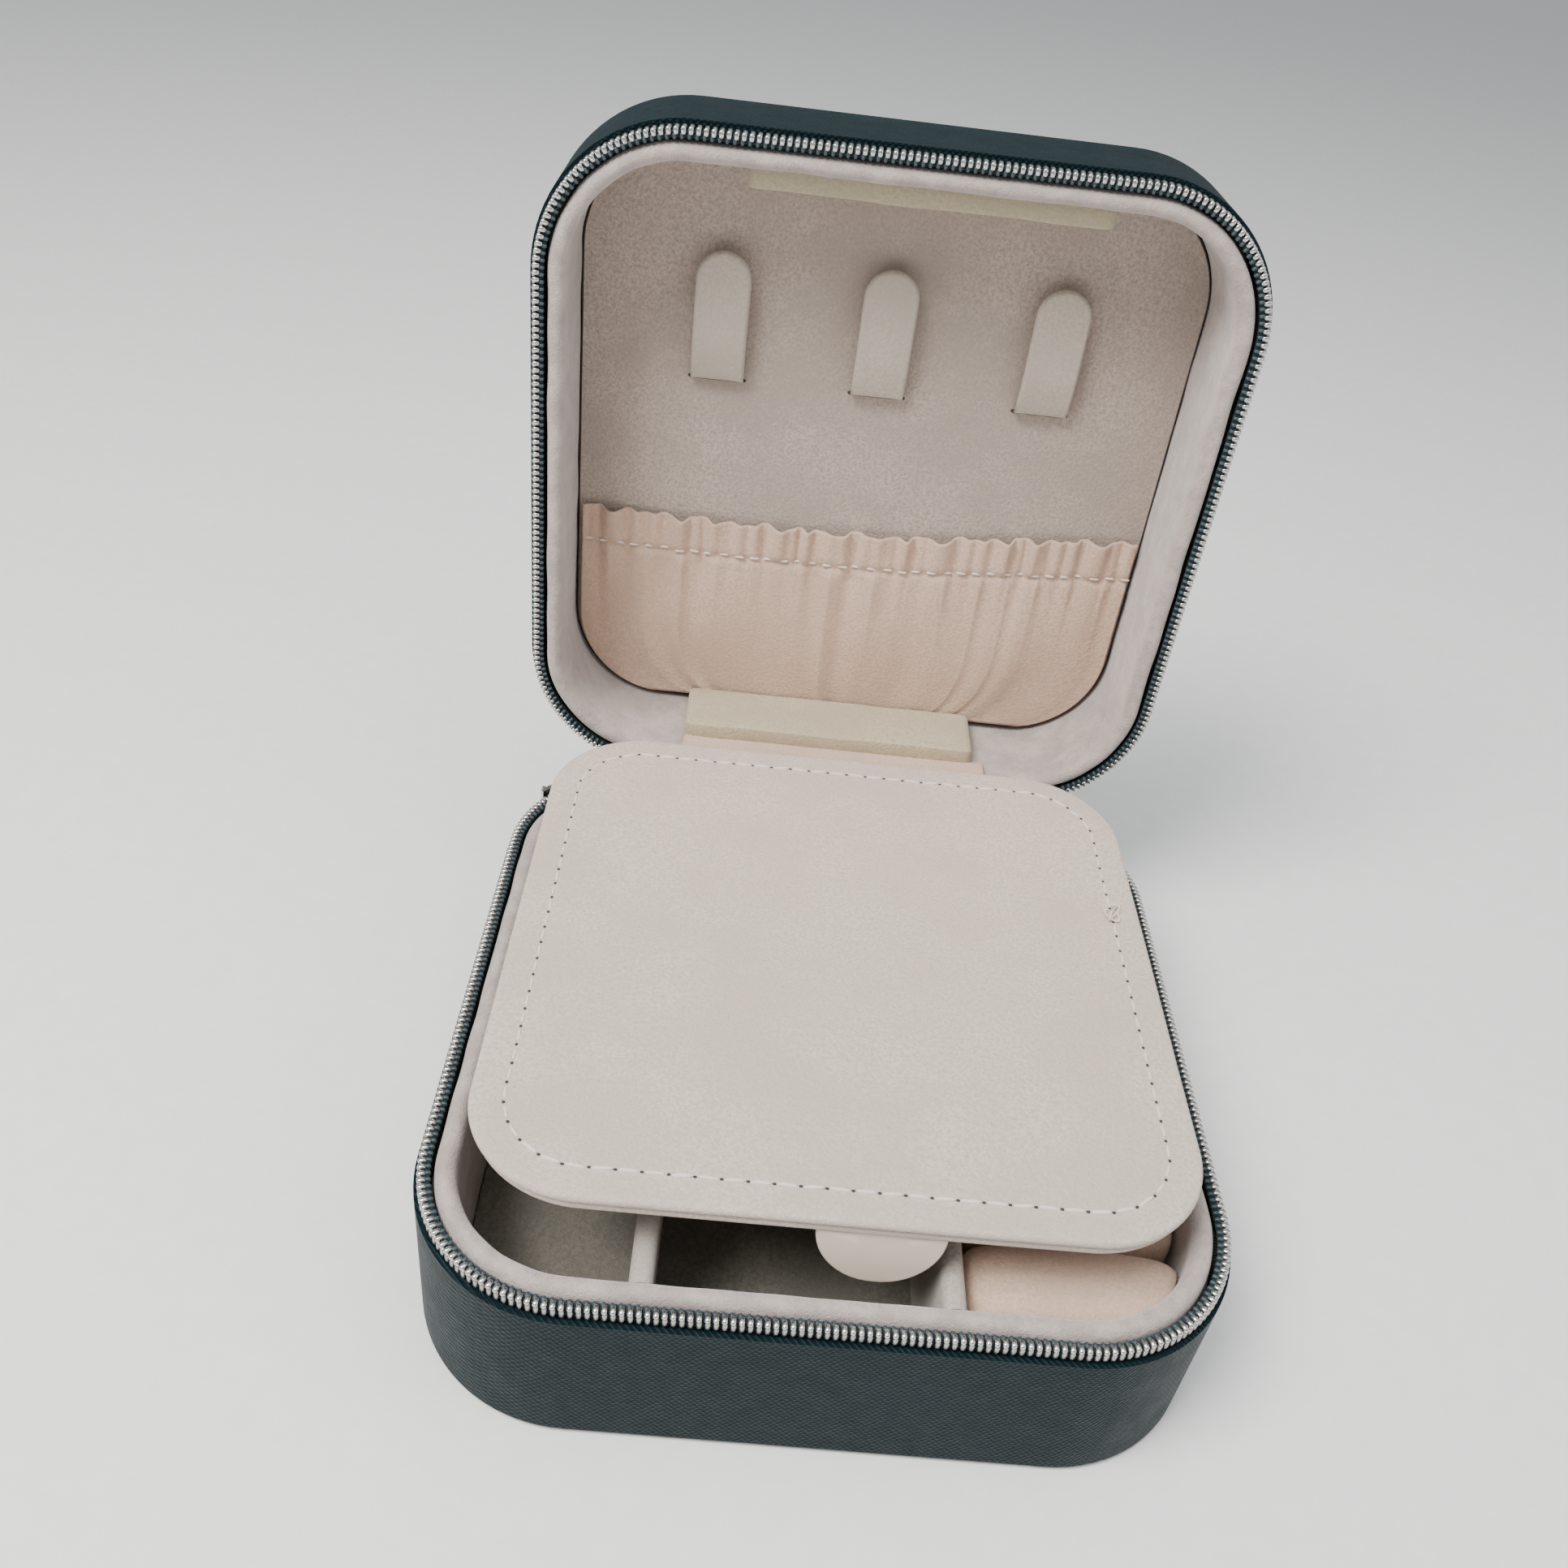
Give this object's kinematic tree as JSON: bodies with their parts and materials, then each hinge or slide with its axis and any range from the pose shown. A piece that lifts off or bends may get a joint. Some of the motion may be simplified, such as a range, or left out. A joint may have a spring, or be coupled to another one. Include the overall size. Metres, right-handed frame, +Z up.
{
  "type": "jewelry box",
  "caption": "Small square zip-round travel jewelry box with a hinged lid, an inner flap over a divided tray, a ring cushion, necklace hooks and a gathered pocket.",
  "frame": {"origin": "centre of the base's underside, on the surface it stands on", "axes": "+X to the right seen from the front, +Y towards the hinge at the back, +Z up"},
  "size_m": [0.1, 0.12, 0.125],
  "materials": {
    "teal_leather": "fine cross-hatched grain",
    "board": "matt",
    "velvet": "short pile",
    "suede_beige": "short nap",
    "suede_olive": "short nap",
    "suede_peach": "short nap",
    "zip_tape": "woven",
    "zip_metal": "bright",
    "foam": "soft",
    "cream_leather": "smooth"
  },
  "bodies": {
    "base": {"base_wall_cover": "teal_leather", "base_bottom_cover": "teal_leather", "base_wall_board": "board", "base_bottom_board": "board", "base_zip_tape": "zip_tape", "base_zip_teeth": "zip_metal", "base_collar": "velvet", "tray_floor": "suede_olive", "divider_left": "suede_olive", "divider_right": "suede_olive", "ring_bed": "foam", "base_spine": "teal_leather", "zip_slider": "zip_metal", "ring_roll_1": "suede_peach", "ring_roll_2": "suede_peach", "ring_roll_3": "suede_peach", "ring_roll_4": "suede_peach", "ring_roll_5": "suede_peach", "ring_roll_6": "suede_peach", "ring_roll_7": "suede_peach"},
    "lid": {"lid_spine": "teal_leather", "lid_wall_cover": "teal_leather", "lid_top_cover": "teal_leather", "lid_wall_board": "board", "lid_top_board": "board", "lid_zip_tape": "zip_tape", "lid_zip_teeth": "zip_metal", "lid_collar": "velvet", "lid_panel": "suede_beige", "hook_left": "suede_beige", "hook_middle": "suede_beige", "hook_right": "suede_beige", "pocket_ruffle": "suede_peach", "pocket_elastic": "suede_peach", "pocket_body": "suede_peach", "front_bar": "suede_olive", "rear_bar": "suede_olive", "hinge_cloth": "suede_peach"},
    "flap": {"flap_bottom_board": "suede_beige", "flap_top_board": "suede_beige", "flap_tab": "cream_leather"},
    "zip_pull_tab": {"zip_pull": "zip_metal"}
  },
  "joints": [
    {"name": "lid_hinge", "type": "hinge", "parent": "base", "child": "lid", "pos_m": [0, 0.05, 0.025], "axis": [-1, 0, 0], "range_deg": [-90, 15]},
    {"name": "flap_hinge", "type": "hinge", "parent": "lid", "child": "flap", "pos_m": [0, 0.04875, 0.02925], "axis": [-1, 0, 0], "range_deg": [-15, 90], "deforming": ["hinge_cloth"]},
    {"name": "pull_swing", "type": "hinge", "parent": "base", "child": "zip_pull_tab", "pos_m": [-0.04539, 0.04539, 0.0226], "axis": [0.7071, 0.7071, 0], "range_deg": [-3, 95]}
  ],
  "couplings": [
    {"joint": "flap_hinge", "follows": "lid_hinge", "ratio": -1}
  ]
}
